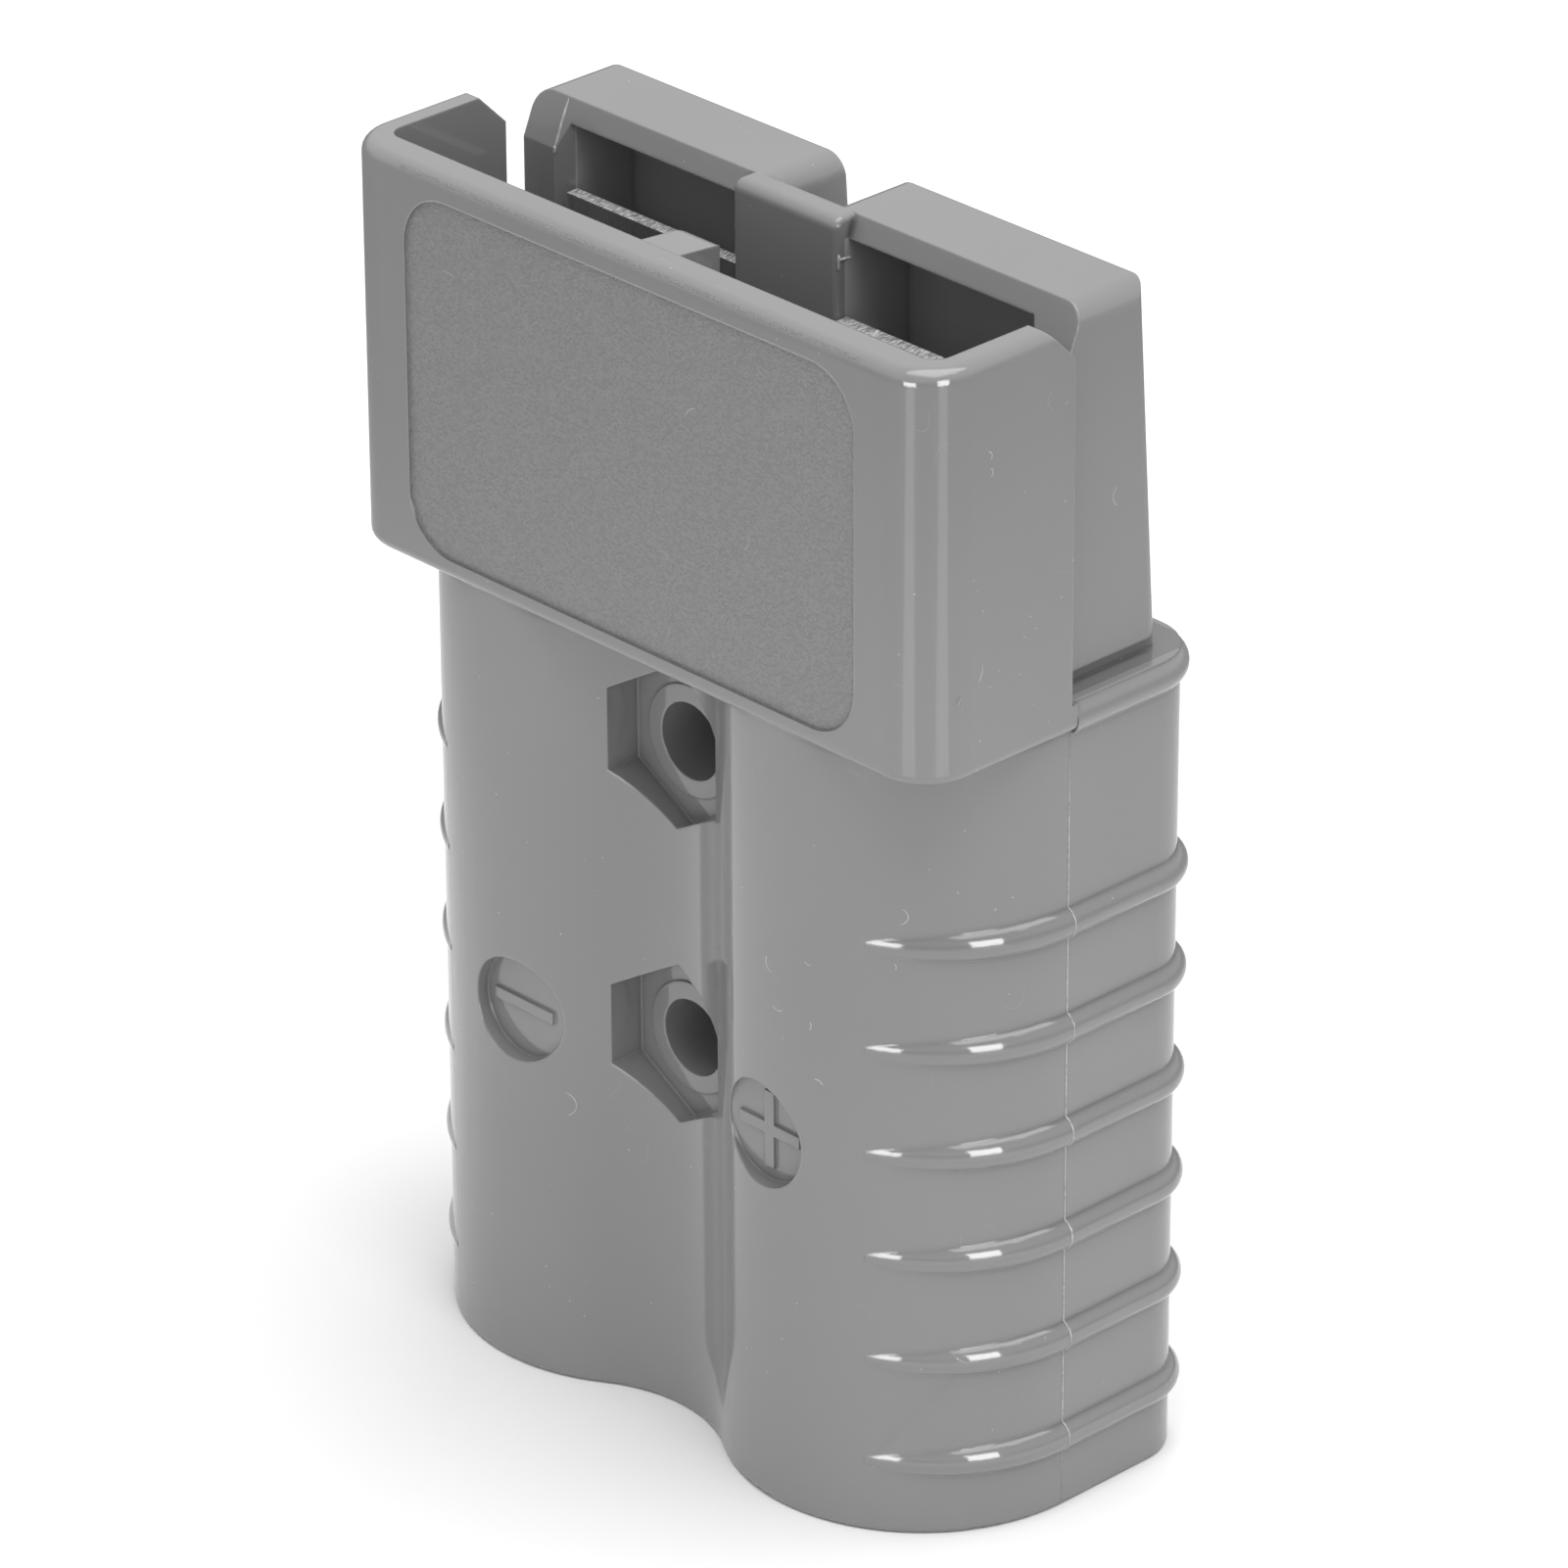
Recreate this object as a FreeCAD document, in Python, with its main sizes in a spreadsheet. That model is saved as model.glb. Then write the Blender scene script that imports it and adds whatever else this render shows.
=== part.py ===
import FreeCAD, Part
import Sketcher
import math
import os

# Genderless power connector, one half: a moulded housing and its two retention springs.
# X is the width, +Y the back, +Z up. It stands on its cable end with the mating end up.

os.makedirs("parts", exist_ok=True)
doc = FreeCAD.newDocument("genderless_connector")

# Driving sizes in millimetres
SIZES = [
    ("body_width", 68.5, "across the two lobes"),
    ("lobe_radius", 17.2, "the two cable lobes"),
    ("lobe_axis_y", 0.15, "the lobe axes behind the parting plane"),
    ("valley_floor", 11.92, "bottom of the hollow between the lobes, ahead of the parting plane"),
    ("body_back", 16.0, "back face behind the parting plane"),
    ("back_corner", 5.3, "radius of the body's back corners"),
    ("foot_round", 0.5, "rounded edge all around the cable end"),
    ("shoulder_height", 76.0, "where the mating half's hood comes to rest"),
    ("bead_height", 3.13, "rounded bead around the shoulder"),
    ("bead_stand_out", 0.75, "the bead beyond the body"),
    ("total_height", 110.0, "cable end to hood rim"),
    ("hood_stand_out", 0.65, "hood beyond the body, each side"),
    ("hood_front", 17.25, "hood's front face ahead of the parting plane"),
    ("hood_back", 0.5, "the flanges end this far ahead of the parting plane"),
    ("hood_foot_back", 0.2, "below the shoulder the hood ends this far behind it"),
    ("hood_overlap", 2.6, "hood's lower edge below the shoulder"),
    ("hood_front_wall", 3.35, "thickness"),
    ("hood_side_wall", 2.45, "thickness"),
    ("hood_corner", 5.0, "outer upright corners"),
    ("hood_inner_corner", 1.6, "inner upright corners"),
    ("rim_round", 1.2, "outer edge of the rim"),
    ("hood_lower_round", 1.0, "lower outer edge of the hood"),
    ("flange_corner", 3.0, "top back corner of each flange, cut off straight"),
    ("key_width", 4.5, "rib in the middle of the hood"),
    ("key_depth", 6.45, "how far that rib stands into the hood"),
    ("key_below_rim", 0.45, "its top where it leaves the wall"),
    ("key_fall", 0.6, "and slopes down this much"),
    ("key_round", 2.0, "its nose"),
    ("mating_clearance", 0.2, "between a contact box and the other half's hood, each side"),
    ("key_clearance", 0.75, "between the other half's rib and the rear gap, each side"),
    ("box_front", 1.3, "front faces of the box walls"),
    ("box_below_rim", 0.5, "top of the contact boxes below the hood's rim"),
    ("box_back_top", 10.7, "back of the boxes at the top"),
    ("box_draft", 2.05, "the back leans out this much towards the shoulder"),
    ("box_lead_depth", 1.8, "lead-in at the top of the box fronts"),
    ("box_lead_height", 4.3, "height of that lead-in"),
    ("box_round", 2.0, "outer edges of the boxes"),
    ("gap_round", 2.0, "top edges at the rear gap"),
    ("neck_height", 1.3, "undercut between the boxes and the shoulder"),
    ("neck_depth", 0.6, "depth of that undercut"),
    ("web_width", 12.2, "plate between the boxes"),
    ("web_front", 0.75, "its front face"),
    ("web_thickness", 2.5, "the rear gap starts behind it"),
    ("web_round", 1.0, "its top edge"),
    ("web_end_round", 0.5, "its ends"),
    ("box_wall", 5.15, "outer wall of a box"),
    ("box_roof", 2.0, "top wall of a box"),
    ("cavity_back", 9.2, "back wall of a cavity"),
    ("cavity_lead", 1.3, "lead-in on the inner edge of the outer wall"),
    ("passage_front", 0.6, "contact passage ahead of the parting plane"),
    ("passage_foot", 4.0, "the passage leaves the barrel bore this far below the slot"),
    ("spring_thickness", 1.25, "spring steel strip"),
    ("spring_side_clearance", 0.2, "from the strip to the cavity, each side"),
    ("slot_clearance", 0.05, "strip in its slot, each side"),
    ("slot_depth", 10.0, "down to where the spring's foot stands"),
    ("slot_below_shoulder", 6.0, "mouth of the slot"),
    ("slot_lip", 1.5, "wall in front of the slot"),
    ("slot_back", 8.9, "back of the slot"),
    ("right_tip_y", 1.2, "middle of the right spring's free end, no contact fitted"),
    ("left_tip_y", 1.85, "middle of the left spring's free end"),
    ("left_lift", 1.0, "the left spring stands this much higher in its slot"),
    ("spring_below_roof", 6.8, "free end of the right spring below the box's roof"),
    ("spring_foot_out", 0.5, "upright out of the slot, then it leans"),
    ("spring_tip_length", 6.2, "upright again at the free end"),
    ("spring_bend_radius", 6.0, "bends, at mid thickness"),
    ("cable_bore_radius", 11.5, "insulated cable"),
    ("cable_bore_depth", 38.0, "from the cable end"),
    ("barrel_bore_radius", 9.5, "crimp barrel of the contact"),
    ("bore_chamfer", 0.8, "mouth of the cable bore"),
    ("bolt_hole_radius", 3.5, "mounting holes"),
    ("bolt_below_hood", 9.7, "upper mounting hole below the hood's lower edge"),
    ("bolt_spacing", 28.1, "between the mounting holes"),
    ("nut_across_flats", 13.2, "hexagonal nut pockets"),
    ("nut_floor", 10.05, "pocket floor ahead of the parting plane"),
    ("ring_radius", 5.1, "flat ring around each bolt hole"),
    ("ring_height", 0.2, "the ring above the pocket floor"),
    ("disc_radius", 4.85, "polarity discs"),
    ("disc_inset", 1.9, "disc centre inward of the lobe axis"),
    ("disc_height", 34.95, "disc centre above the cable end"),
    ("disc_floor", 15.55, "disc floor ahead of the parting plane"),
    ("sign_length", 7.2, "bars of the plus and the minus"),
    ("sign_width", 1.1, "bars"),
    ("sign_stand_out", 0.3, "bars above the disc floor"),
    ("label_margin", 8.2, "from the label recess to the hood's sides"),
    ("label_above_edge", 1.8, "from the recess to the hood's lower edge"),
    ("label_below_rim", 2.2, "from the recess to the rim"),
    ("label_corner", 5.0, "its corners"),
    ("label_depth", 0.25, "its depth"),
    ("rib_count", 6, "grip ribs on each side"),
    ("rib_first", 6.83, "lowest rib above the cable end"),
    ("rib_pitch", 9.8, "from rib to rib"),
    ("rib_radius", 1.5, "half round"),
    ("rib_sink", 0.55, "rib axis below the surface"),
    ("rib_taper", 2.2, "how much tighter than the lobe a rib curves, for its pointed end"),
    ("rib_tip_inset", 1.35, "a rib ends this far short of its own curve's front"),
    ("rib_back_radius", 55.0, "curve on which a rib sinks into the back"),
    ("rib_back_length", 11.0, "length of that curve"),
]

sheet = doc.addObject("Spreadsheet::Sheet", "sizes")
for row, (alias, value, note) in enumerate(SIZES, start=1):
    sheet.set("A%d" % row, alias)
    sheet.set("B%d" % row, str(value))
    sheet.set("C%d" % row, note)
    sheet.setAlias("B%d" % row, alias)
doc.recompute()


class Size:
    """A number together with the cells it comes from."""

    def __init__(self, value, text):
        self.value = float(value)
        self.text = text

    def __add__(self, other):
        other = plain(other)
        return Size(self.value + other.value, "(%s + %s)" % (self.text, other.text))

    def __sub__(self, other):
        other = plain(other)
        return Size(self.value - other.value, "(%s - %s)" % (self.text, other.text))

    def __mul__(self, factor):
        factor = plain(factor)
        return Size(self.value * factor.value, "(%s * %s)" % (self.text, factor.text))

    def __truediv__(self, factor):
        factor = plain(factor)
        return Size(self.value / factor.value, "(%s / %s)" % (self.text, factor.text))

    def __neg__(self):
        return Size(-self.value, "(0 - %s)" % self.text)


def plain(number):
    return number if isinstance(number, Size) else Size(number, "%g" % number)


def cell(alias):
    return Size(sheet.get(alias), "sizes." + alias)


# Sizes worked out from the cells
body_half = cell("body_width") / 2
lobe_radius = cell("lobe_radius")
lobe_x = body_half - lobe_radius
hood_half = body_half + cell("hood_stand_out")
hood_bottom = cell("shoulder_height") - cell("hood_overlap")
hood_inner = hood_half - cell("hood_side_wall")
channel_front = cell("hood_front") - cell("hood_front_wall")
key_half = cell("key_width") / 2
gap_half = key_half + cell("key_clearance")
gap_front = cell("web_front") + cell("web_thickness")
box_half = hood_inner - cell("mating_clearance")
box_bottom = cell("shoulder_height") + cell("neck_height")
box_top = cell("total_height") - cell("box_below_rim")
web_half = cell("web_width") / 2
cavity_top = box_top - cell("box_roof")
cavity_outer = box_half - cell("box_wall")
cavity_middle = (web_half + cavity_outer) / 2
cavity_width = cavity_outer - web_half
spring_width = cavity_width - cell("spring_side_clearance") * 2
slot_thickness = cell("spring_thickness") + cell("slot_clearance") * 2
slot_front = cell("slot_back") - slot_thickness
slot_width = spring_width + cell("slot_clearance") * 2
slot_top = cell("shoulder_height") - cell("slot_below_shoulder")
slot_floor = slot_top - cell("slot_depth")
passage_bottom = slot_floor - cell("passage_foot")
passage_back = slot_front - cell("slot_lip")
spring_foot_y = cell("slot_back") - slot_thickness / 2


def bind(feature, prop, size):
    setattr(feature, prop, size.value)
    feature.setExpression(prop, size.text)


def new_body(name):
    body = doc.addObject("PartDesign::Body", name)
    body.Label = name
    body.Placement = FreeCAD.Placement()
    doc.recompute()
    return body


def origin_part(body, role):
    return [part for part in body.Origin.OriginFeatures if part.Role == role][0]


def new_sketch(body, name, plane, offset=None):
    """A sketch on one of the body's own planes, moved along the plane's normal."""
    sketch = body.newObject("Sketcher::SketchObject", name)
    sketch.AttachmentSupport = (origin_part(body, plane), [""])
    sketch.MapMode = "FlatFace"
    if offset is not None:
        sketch.AttachmentOffset = FreeCAD.Placement(
            FreeCAD.Vector(0, 0, offset.value), FreeCAD.Rotation())
        sketch.setExpression("AttachmentOffset.Base.z", offset.text)
    return sketch


def hold(sketch, geometry, point, across=None, up=None):
    """Place a sketch point by its distances from the sketch origin."""
    for kind, axis, size in (("DistanceX", -2, across), ("DistanceY", -1, up)):
        if size is None:
            continue
        size = plain(size)
        if abs(size.value) < 1e-9:
            sketch.addConstraint(Sketcher.Constraint("PointOnObject", geometry, point, axis))
        elif size.value > 0:
            held = sketch.addConstraint(Sketcher.Constraint(kind, -1, 1, geometry, point, size.value))
            sketch.setExpression("Constraints[%d]" % held, size.text)
        else:
            held = sketch.addConstraint(Sketcher.Constraint(kind, geometry, point, -1, 1, -size.value))
            sketch.setExpression("Constraints[%d]" % held, (-size).text)


def radius_of(sketch, geometry, size):
    held = sketch.addConstraint(Sketcher.Constraint("Radius", geometry, size.value))
    sketch.setExpression("Constraints[%d]" % held, size.text)


def vector(across, up):
    return FreeCAD.Vector(plain(across).value, plain(up).value, 0)


def polygon(sketch, corners):
    """Closed outline through corners, each held by its two sizes."""
    first = sketch.GeometryCount
    count = len(corners)
    for index, corner in enumerate(corners):
        following = corners[(index + 1) % count]
        sketch.addGeometry(Part.LineSegment(vector(*corner), vector(*following)), False)
    for index, corner in enumerate(corners):
        following = first + (index + 1) % count
        sketch.addConstraint(Sketcher.Constraint("Coincident", first + index, 2, following, 1))
        hold(sketch, first + index, 1, *corner)


def rectangle(sketch, left, right, low, high):
    polygon(sketch, [(left, low), (right, low), (right, high), (left, high)])


def circle(sketch, across, up, radius):
    made = sketch.addGeometry(
        Part.Circle(vector(across, up), FreeCAD.Vector(0, 0, 1), radius.value), False)
    hold(sketch, made, 3, across, up)
    radius_of(sketch, made, radius)


def arc(sketch, across, up, radius, start, end):
    """Arc with a held centre and radius, from start to end in degrees."""
    full = Part.Circle(vector(across, up), FreeCAD.Vector(0, 0, 1), plain(radius).value)
    return sketch.addGeometry(Part.ArcOfCircle(full, math.radians(start), math.radians(end)), False)


def smooth(sketch, one, one_point, other, other_point):
    sketch.addConstraint(Sketcher.Constraint("Tangent", one, one_point, other, other_point))


def solid_grows(body, feature, sign=1):
    """Recompute and make sure that the feature added material, or took some away."""
    before = solid_grows.volume.get(body.Name, 0.0)
    doc.recompute()
    after = feature.Shape.Volume
    if "Invalid" in feature.State or (after - before) * sign <= 1e-6:
        raise RuntimeError("%s changes nothing: %.3f to %.3f" % (feature.Name, before, after))
    solid_grows.volume[body.Name] = after
    return feature


solid_grows.volume = {}


def pad(body, sketch, name, length, both_ways=False):
    feature = body.newObject("PartDesign::Pad", name)
    feature.Profile = sketch
    bind(feature, "Length", length)
    feature.Midplane = both_ways
    return solid_grows(body, feature)


def pocket(body, sketch, name, length, both_ways=False, turned=False):
    feature = body.newObject("PartDesign::Pocket", name)
    feature.Profile = sketch
    bind(feature, "Length", length)
    feature.Midplane = both_ways
    feature.Reversed = turned
    return solid_grows(body, feature, -1)


def pipe(body, profile, spine, name):
    feature = body.newObject("PartDesign::AdditivePipe", name)
    feature.Profile = profile
    feature.Spine = spine
    return solid_grows(body, feature)


def edges_where(feature, test):
    """Names of the edges whose box passes the test."""
    return ["Edge%d" % number for number, edge in enumerate(feature.Shape.Edges, start=1)
            if test(edge.BoundBox)]


def dress(body, kind, name, base, test, size, expected):
    """Fillet or chamfer on the edges of the last feature that pass the test."""
    names = edges_where(base, test)
    if len(names) != expected:
        raise RuntimeError("%s finds %d edges, not %d" % (name, len(names), expected))
    feature = body.newObject("PartDesign::" + kind, name)
    feature.Base = (base, names)
    bind(feature, "Radius" if kind == "Fillet" else "Size", size)
    doc.recompute()
    if "Invalid" in feature.State or feature.Shape.isNull():
        raise RuntimeError(name + " can't be made")
    solid_grows.volume[body.Name] = feature.Shape.Volume
    return feature


def near(value, target, room=0.02):
    return abs(value - plain(target).value) < room


def upright(box):
    return box.ZLength > 0.5 and box.XLength < 0.02 and box.YLength < 0.02


def flat_at(box, height):
    return near(box.ZMin, height) and near(box.ZMax, height)


housing = new_body("housing")

# Hood: a block with rounded corners, hollowed from above and open towards the back
sketch = new_sketch(housing, "hood_outline", "XY_Plane", hood_bottom)
rectangle(sketch, -hood_half, hood_half, -cell("hood_front"), cell("hood_foot_back"))
last = pad(housing, sketch, "hood", cell("total_height") - hood_bottom)
last = dress(housing, "Fillet", "hood_corners", last,
             lambda box: upright(box) and near(box.YMin, -cell("hood_front")),
             cell("hood_corner"), 2)
last = dress(housing, "Fillet", "hood_lower_edge", last,
             lambda box: flat_at(box, hood_bottom) and box.YMin < -1.0,
             cell("hood_lower_round"), 5)
sketch = new_sketch(housing, "flange_backs", "XY_Plane", cell("total_height"))
rectangle(sketch, -hood_half, hood_half, -cell("hood_back"), cell("hood_foot_back"))
last = pocket(housing, sketch, "hood_step", cell("total_height") - cell("shoulder_height"))
sketch = new_sketch(housing, "channel_outline", "XY_Plane", cell("total_height"))
rectangle(sketch, -hood_inner, hood_inner, -channel_front, cell("box_front"))
last = pocket(housing, sketch, "channel", cell("total_height") - cell("shoulder_height"))
last = dress(housing, "Fillet", "channel_corners", last,
             lambda box: upright(box) and near(box.YMin, -channel_front),
             cell("hood_inner_corner"), 2)
last = dress(housing, "Chamfer", "flange_corners", last,
             lambda box: flat_at(box, cell("total_height")) and near(box.YMin, -cell("hood_back"))
             and box.YLength < 0.02, cell("flange_corner"), 2)
last = dress(housing, "Fillet", "rim_edge", last,
             lambda box: flat_at(box, cell("total_height")) and
             (near(box.YMin, -cell("hood_front")) or near(abs(box.XMin + box.XMax) / 2, hood_half)),
             cell("rim_round"), 5)
key_top = cell("total_height") - cell("key_below_rim")
sketch = new_sketch(housing, "key_side", "YZ_Plane")
polygon(sketch, [
    (-channel_front - 0.6, cell("shoulder_height") - 0.6),
    (-channel_front + cell("key_depth"), cell("shoulder_height") - 0.6),
    (-channel_front + cell("key_depth"), key_top - cell("key_fall")),
    (-channel_front, key_top),
    (-channel_front - 0.6, key_top)])
last = pad(housing, sketch, "key", cell("key_width"), both_ways=True)
last = dress(housing, "Fillet", "key_nose", last,
             lambda box: near(box.YMin, -channel_front + cell("key_depth")) and box.YLength < 0.02
             and (upright(box) or near(box.ZMin, key_top - cell("key_fall"))),
             cell("key_round"), 3)

# Body: two cable lobes with a valley at the front, flat back, up to the shoulder
sketch = new_sketch(housing, "body_outline", "XY_Plane")
# the hollow's radius follows from its bottom and from touching both lobes smoothly
floor_reach = cell("valley_floor") + cell("lobe_axis_y")
valley_radius = ((floor_reach * floor_reach + lobe_x * lobe_x - lobe_radius * lobe_radius)
                 / ((lobe_radius - floor_reach) * 2))
valley_y = -cell("valley_floor").value - valley_radius.value
slope = math.degrees(math.atan2(valley_y - cell("lobe_axis_y").value, -lobe_x.value))
right_lobe = arc(sketch, lobe_x, cell("lobe_axis_y"), lobe_radius, slope, 0)
left_lobe = arc(sketch, -lobe_x, cell("lobe_axis_y"), lobe_radius, 180, -180 - slope)
valley = arc(sketch, 0, Size(valley_y, ""), valley_radius, 180 + slope, -slope)
right_side = sketch.addGeometry(Part.LineSegment(
    vector(body_half, cell("lobe_axis_y")), vector(body_half, cell("body_back"))), False)
back_side = sketch.addGeometry(Part.LineSegment(
    vector(body_half, cell("body_back")), vector(-body_half, cell("body_back"))), False)
left_side = sketch.addGeometry(Part.LineSegment(
    vector(-body_half, cell("body_back")), vector(-body_half, cell("lobe_axis_y"))), False)
hold(sketch, right_lobe, 3, lobe_x, cell("lobe_axis_y"))
hold(sketch, left_lobe, 3, -lobe_x, cell("lobe_axis_y"))
radius_of(sketch, right_lobe, lobe_radius)
radius_of(sketch, left_lobe, lobe_radius)
radius_of(sketch, valley, valley_radius)
smooth(sketch, right_lobe, 1, valley, 1)
smooth(sketch, left_lobe, 2, valley, 2)
smooth(sketch, right_lobe, 2, right_side, 1)
smooth(sketch, left_lobe, 1, left_side, 2)
for side in (right_side, left_side):
    sketch.addConstraint(Sketcher.Constraint("Vertical", side))
sketch.addConstraint(Sketcher.Constraint("Coincident", right_side, 2, back_side, 1))
sketch.addConstraint(Sketcher.Constraint("Coincident", back_side, 2, left_side, 1))
sketch.addConstraint(Sketcher.Constraint("Horizontal", back_side))
hold(sketch, back_side, 1, up=cell("body_back"))
last = pad(housing, sketch, "body", cell("shoulder_height"))
last = dress(housing, "Fillet", "back_corners", last,
             lambda box: upright(box) and near(box.YMin, cell("body_back")),
             cell("back_corner"), 2)
last = dress(housing, "Fillet", "foot_edge", last,
             lambda box: flat_at(box, 0), cell("foot_round"), 8)

# Bead around the shoulder, from one flange round the back to the other
bead_round = cell("bead_height") / 2
bead_low = cell("shoulder_height") - cell("bead_height")
bead_middle = cell("shoulder_height") - bead_round
bead_path_x = body_half + cell("bead_stand_out") - bead_round
bead_path_back = cell("body_back") + cell("bead_stand_out") - bead_round
bead_corner = cell("back_corner") + cell("bead_stand_out") - bead_round
sketch = new_sketch(housing, "bead_path", "XY_Plane", bead_middle)
start = [cell("hood_foot_back"), bead_path_back - bead_corner]
right = sketch.addGeometry(Part.LineSegment(
    vector(bead_path_x, start[0]), vector(bead_path_x, start[1])), False)
turn_right = arc(sketch, bead_path_x - bead_corner, start[1], bead_corner, 0, 90)
back = sketch.addGeometry(Part.LineSegment(
    vector(bead_path_x - bead_corner, bead_path_back),
    vector(bead_corner - bead_path_x, bead_path_back)), False)
turn_left = arc(sketch, bead_corner - bead_path_x, start[1], bead_corner, 90, 180)
left = sketch.addGeometry(Part.LineSegment(
    vector(-bead_path_x, start[1]), vector(-bead_path_x, start[0])), False)
smooth(sketch, right, 2, turn_right, 1)
smooth(sketch, turn_right, 2, back, 1)
smooth(sketch, back, 2, turn_left, 1)
smooth(sketch, turn_left, 2, left, 1)
sketch.addConstraint(Sketcher.Constraint("Vertical", right))
sketch.addConstraint(Sketcher.Constraint("Vertical", left))
radius_of(sketch, turn_right, bead_corner)
radius_of(sketch, turn_left, bead_corner)
hold(sketch, right, 1, bead_path_x, start[0])
hold(sketch, left, 2, -bead_path_x, start[0])
hold(sketch, back, 1, up=bead_path_back)
bead_path = sketch
sketch = new_sketch(housing, "bead_section", "XZ_Plane", -cell("hood_foot_back"))
inner = bead_path_x - 1.5
top = sketch.addGeometry(Part.LineSegment(
    vector(bead_path_x, cell("shoulder_height")), vector(inner, cell("shoulder_height"))), False)
inside = sketch.addGeometry(Part.LineSegment(
    vector(inner, cell("shoulder_height")), vector(inner, bead_low)), False)
bottom = sketch.addGeometry(Part.LineSegment(
    vector(inner, bead_low), vector(bead_path_x, bead_low)), False)
nose = arc(sketch, bead_path_x, bead_middle, bead_round, -90, 90)
sketch.addConstraint(Sketcher.Constraint("Coincident", top, 2, inside, 1))
sketch.addConstraint(Sketcher.Constraint("Coincident", inside, 2, bottom, 1))
smooth(sketch, bottom, 2, nose, 1)
smooth(sketch, nose, 2, top, 1)
sketch.addConstraint(Sketcher.Constraint("Horizontal", top))
sketch.addConstraint(Sketcher.Constraint("Horizontal", bottom))
sketch.addConstraint(Sketcher.Constraint("Vertical", inside))
hold(sketch, nose, 3, bead_path_x, bead_middle)
radius_of(sketch, nose, bead_round)
hold(sketch, inside, 1, across=inner)
last = pipe(housing, sketch, bead_path, "bead")

# Grip ribs: half-round bars that rise out of the lobes, go round the sides and sink into the back
rib_x = body_half - cell("rib_sink")
rib_front_radius = lobe_radius - cell("rib_taper")
rib_reach = rib_front_radius - cell("rib_tip_inset")
rib_back_y = cell("body_back") - cell("rib_sink")
rib_corner = cell("back_corner") - cell("rib_sink")
rib_corner_x = rib_x - rib_corner
rib_corner_y = rib_back_y - rib_corner
ribs = []
for side in (1, -1):
    hand = "right" if side > 0 else "left"

    def sided(size):
        return size if side > 0 else -size

    def turned(one, other):
        return (one, other) if side > 0 else (180 - other, 180 - one)

    # a mirrored arc runs the other way round, so its first and last points change places
    first, final = (1, 2) if side > 0 else (2, 1)
    sketch = new_sketch(housing, "rib_path_" + hand, "XY_Plane", cell("rib_first"))
    tip_angle = math.degrees(math.asin(rib_reach.value / rib_front_radius.value))
    end_angle = math.degrees(math.asin(cell("rib_back_length").value / cell("rib_back_radius").value))
    rise = arc(sketch, sided(rib_x - rib_front_radius), cell("lobe_axis_y"), rib_front_radius,
               *turned(-tip_angle, 0))
    run = sketch.addGeometry(Part.LineSegment(
        vector(sided(rib_x), cell("lobe_axis_y")), vector(sided(rib_x), rib_corner_y)), False)
    turn = arc(sketch, sided(rib_corner_x), rib_corner_y, rib_corner, *turned(0, 90))
    sink = arc(sketch, sided(rib_corner_x), rib_back_y - cell("rib_back_radius"),
               cell("rib_back_radius"), *turned(90, 90 + end_angle))
    smooth(sketch, rise, final, run, 1)
    smooth(sketch, run, 2, turn, first)
    smooth(sketch, turn, final, sink, first)
    sketch.addConstraint(Sketcher.Constraint("Vertical", run))
    hold(sketch, rise, 3, sided(rib_x - rib_front_radius), cell("lobe_axis_y"))
    radius_of(sketch, rise, rib_front_radius)
    hold(sketch, rise, first, up=cell("lobe_axis_y") - rib_reach)
    hold(sketch, turn, 3, up=rib_corner_y)
    radius_of(sketch, turn, rib_corner)
    radius_of(sketch, sink, cell("rib_back_radius"))
    hold(sketch, sink, 3, across=sided(rib_corner_x))
    hold(sketch, sink, final, across=sided(rib_corner_x - cell("rib_back_length")))
    path = sketch
    section = new_sketch(housing, "rib_section_" + hand, "XZ_Plane", -cell("lobe_axis_y"))
    circle(section, sided(rib_x), cell("rib_first"), cell("rib_radius"))
    last = pipe(housing, section, path, "rib_" + hand)
    ribs.append(last)
rib_rows = housing.newObject("PartDesign::LinearPattern", "rib_rows")
rib_rows.Originals = ribs
rib_rows.Direction = (origin_part(housing, "Z_Axis"), [""])
bind(rib_rows, "Length", cell("rib_pitch") * (cell("rib_count") - 1))
rib_rows.Occurrences = int(cell("rib_count").value)
rib_rows.setExpression("Occurrences", cell("rib_count").text)
housing.Tip = rib_rows
last = solid_grows(housing, rib_rows)

# Contact boxes behind the channel: neck, block with a leaning back, web between them
sketch = new_sketch(housing, "neck_outline", "XY_Plane", cell("shoulder_height") - 0.5)
neck_half = box_half - cell("neck_depth")
neck_back = cell("box_back_top") + cell("box_draft") - cell("neck_depth")
rectangle(sketch, -neck_half, neck_half, cell("box_front"), neck_back)
last = pad(housing, sketch, "neck", cell("neck_height") + 1.0)
sketch = new_sketch(housing, "box_side", "YZ_Plane")
polygon(sketch, [
    (cell("box_front"), box_bottom),
    (cell("box_back_top") + cell("box_draft"), box_bottom),
    (cell("box_back_top"), box_top),
    (cell("box_front") + cell("box_lead_depth"), box_top),
    (cell("box_front"), box_top - cell("box_lead_height"))])
last = pad(housing, sketch, "boxes", box_half * 2, both_ways=True)


def box_outer_edge(box):
    on_side = near(abs(box.XMin + box.XMax) / 2, box_half) and box.XLength < 0.02
    on_top = flat_at(box, box_top)
    on_back = box.YMax > cell("box_back_top").value - 0.1 and box.ZLength > 5.0
    return on_side and (on_top or on_back)


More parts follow.
